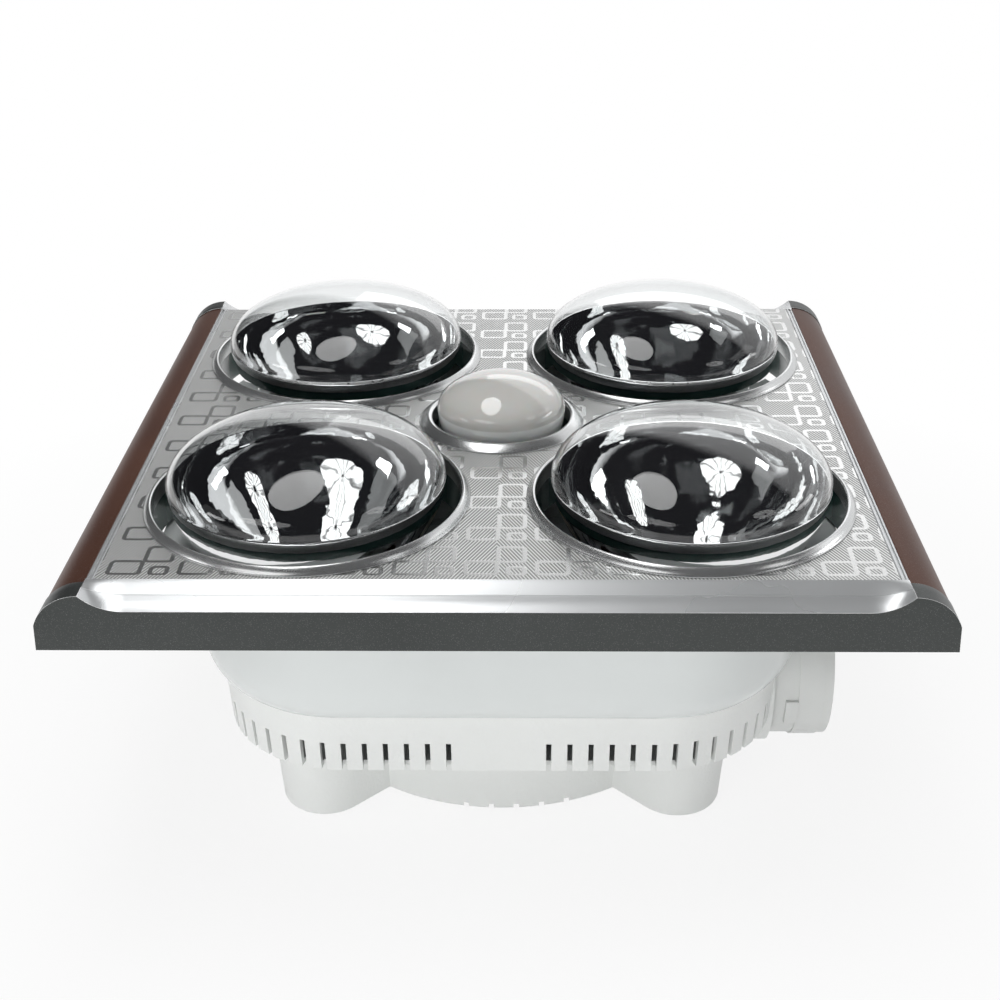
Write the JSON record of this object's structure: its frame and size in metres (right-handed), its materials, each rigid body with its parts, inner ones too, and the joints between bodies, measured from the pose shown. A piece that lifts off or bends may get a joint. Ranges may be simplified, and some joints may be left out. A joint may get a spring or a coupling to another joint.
{
  "type": "ceiling infrared heat lamp unit",
  "caption": "Square ceiling panel with reflector heat lamps and an opal lamp over a two-part housing that holds a fan with a side duct outlet.",
  "frame": {"origin": "centre of the flange's screw holes on the ceiling plane, where the panel's rim bears", "axes": "+Z out of the lamps' side towards the room, +X towards the duct outlet, +Y away from the front moulding"},
  "size_m": [0.377, 0.349, 0.1995],
  "materials": {
    "face_sheet": "satin anodised sheet with an engraved line pattern",
    "frame_plastic": "moulded, dark green-grey",
    "well_enamel": "dark green-grey enamel",
    "moulding_metal": "satin plated",
    "rail_brown": "brown metallic lacquer",
    "bead_metal": "satin plated",
    "ring_metal": "satin plated with a bright lip",
    "spring_steel": "plain",
    "tub_plastic": "moulded, smooth",
    "base_plastic": "moulded, pebble grain",
    "spigot_plastic": "moulded",
    "lamp_glass": "clear dome over a mirrored bowl",
    "opal_glass": "milky coating",
    "cap_metal": "rolled thread",
    "filament_wire": "coiled wire on a glass stem",
    "holder_ceramic": "glazed white",
    "contact_brass": "plain",
    "tray_sheet": "plain sheet",
    "bridge_steel": "galvanised",
    "fan_plastic": "moulded black",
    "scroll_plastic": "moulded grey",
    "motor_paint": "lacquered",
    "shaft_steel": "ground",
    "box_plastic": "moulded",
    "gland_nylon": "moulded nylon",
    "capacitor_case": "moulded",
    "cutout_body": "phenolic"
  },
  "bodies": {
    "housing": {"housing_tub": "tub_plastic", "housing_base": "base_plastic", "reflector_tray": "tray_sheet", "centre_bridge": "bridge_steel", "opal_holder": "holder_ceramic", "holder_brass": "contact_brass", "fan_scroll": "scroll_plastic", "scroll_cover": "scroll_plastic", "fan_motor": "motor_paint", "duct_spigot": "spigot_plastic", "flap_pin": "shaft_steel", "terminal_box": "box_plastic", "terminal_cover": "box_plastic", "terminal_block": "box_plastic", "cable_gland": "gland_nylon", "gland_nut": "gland_nylon", "fan_capacitor": "capacitor_case", "thermal_cutout": "cutout_body", "sheet_screws": "spring_steel", "housing_screws": "spring_steel", "lamp_holder_front_left": "holder_ceramic", "lamp_holder_front_right": "holder_ceramic", "lamp_holder_rear_left": "holder_ceramic", "lamp_holder_rear_right": "holder_ceramic"},
    "panel": {"face_plate": "face_sheet", "panel_frame": "frame_plastic", "lamp_wells": "well_enamel", "front_moulding": "moulding_metal", "rear_moulding": "moulding_metal", "left_rail": "rail_brown", "right_rail": "rail_brown", "left_bead": "bead_metal", "right_bead": "bead_metal", "centre_ring": "ring_metal", "panel_clips": "spring_steel", "clip_screws": "spring_steel", "lamp_ring_front_left": "ring_metal", "lamp_ring_front_right": "ring_metal", "lamp_ring_rear_left": "ring_metal", "lamp_ring_rear_right": "ring_metal"},
    "fan": {"motor_shaft": "shaft_steel", "impeller": "fan_plastic", "impeller_nut": "contact_brass"},
    "flap_front": {"flap_front": "fan_plastic"},
    "flap_rear": {"flap_rear": "fan_plastic"},
    "opal_lamp": {"opal_bulb": "opal_glass", "opal_cap": "cap_metal", "opal_filament": "filament_wire"},
    "lamp_front_left": {"lamp_bulb_front_left": "lamp_glass", "lamp_cap_front_left": "cap_metal", "lamp_filament_front_left": "filament_wire"},
    "lamp_front_right": {"lamp_bulb_front_right": "lamp_glass", "lamp_cap_front_right": "cap_metal", "lamp_filament_front_right": "filament_wire"},
    "lamp_rear_left": {"lamp_bulb_rear_left": "lamp_glass", "lamp_cap_rear_left": "cap_metal", "lamp_filament_rear_left": "filament_wire"},
    "lamp_rear_right": {"lamp_bulb_rear_right": "lamp_glass", "lamp_cap_rear_right": "cap_metal", "lamp_filament_rear_right": "filament_wire"}
  },
  "joints": [
    {"name": "panel_pull", "type": "slide", "parent": "housing", "child": "panel", "axis": [0, 0, 1], "range_m": [0, 0.08]},
    {"name": "fan_spin", "type": "hinge", "parent": "housing", "child": "fan", "pos_m": [-0.012, 0.022, -0.1], "axis": [0, 0, 1], "continuous": true},
    {"name": "flap_front_swing", "type": "hinge", "parent": "housing", "child": "flap_front", "pos_m": [0.1241, -0.046, -0.082], "axis": [0, 0, 1], "range_deg": [0, 75]},
    {"name": "flap_rear_swing", "type": "hinge", "parent": "housing", "child": "flap_rear", "pos_m": [0.1241, -0.046, -0.082], "axis": [0, 0, -1], "range_deg": [0, 75]},
    {"name": "lamp_front_left_lift", "type": "slide", "parent": "housing", "child": "lamp_front_left", "axis": [0, 0, 1], "range_m": [0, 0.15]},
    {"name": "lamp_front_right_lift", "type": "slide", "parent": "housing", "child": "lamp_front_right", "axis": [0, 0, 1], "range_m": [0, 0.15]},
    {"name": "lamp_rear_left_lift", "type": "slide", "parent": "housing", "child": "lamp_rear_left", "axis": [0, 0, 1], "range_m": [0, 0.15]},
    {"name": "lamp_rear_right_lift", "type": "slide", "parent": "housing", "child": "lamp_rear_right", "axis": [0, 0, 1], "range_m": [0, 0.15]},
    {"name": "opal_lamp_lift", "type": "slide", "parent": "housing", "child": "opal_lamp", "axis": [0, 0, 1], "range_m": [0, 0.09]}
  ]
}
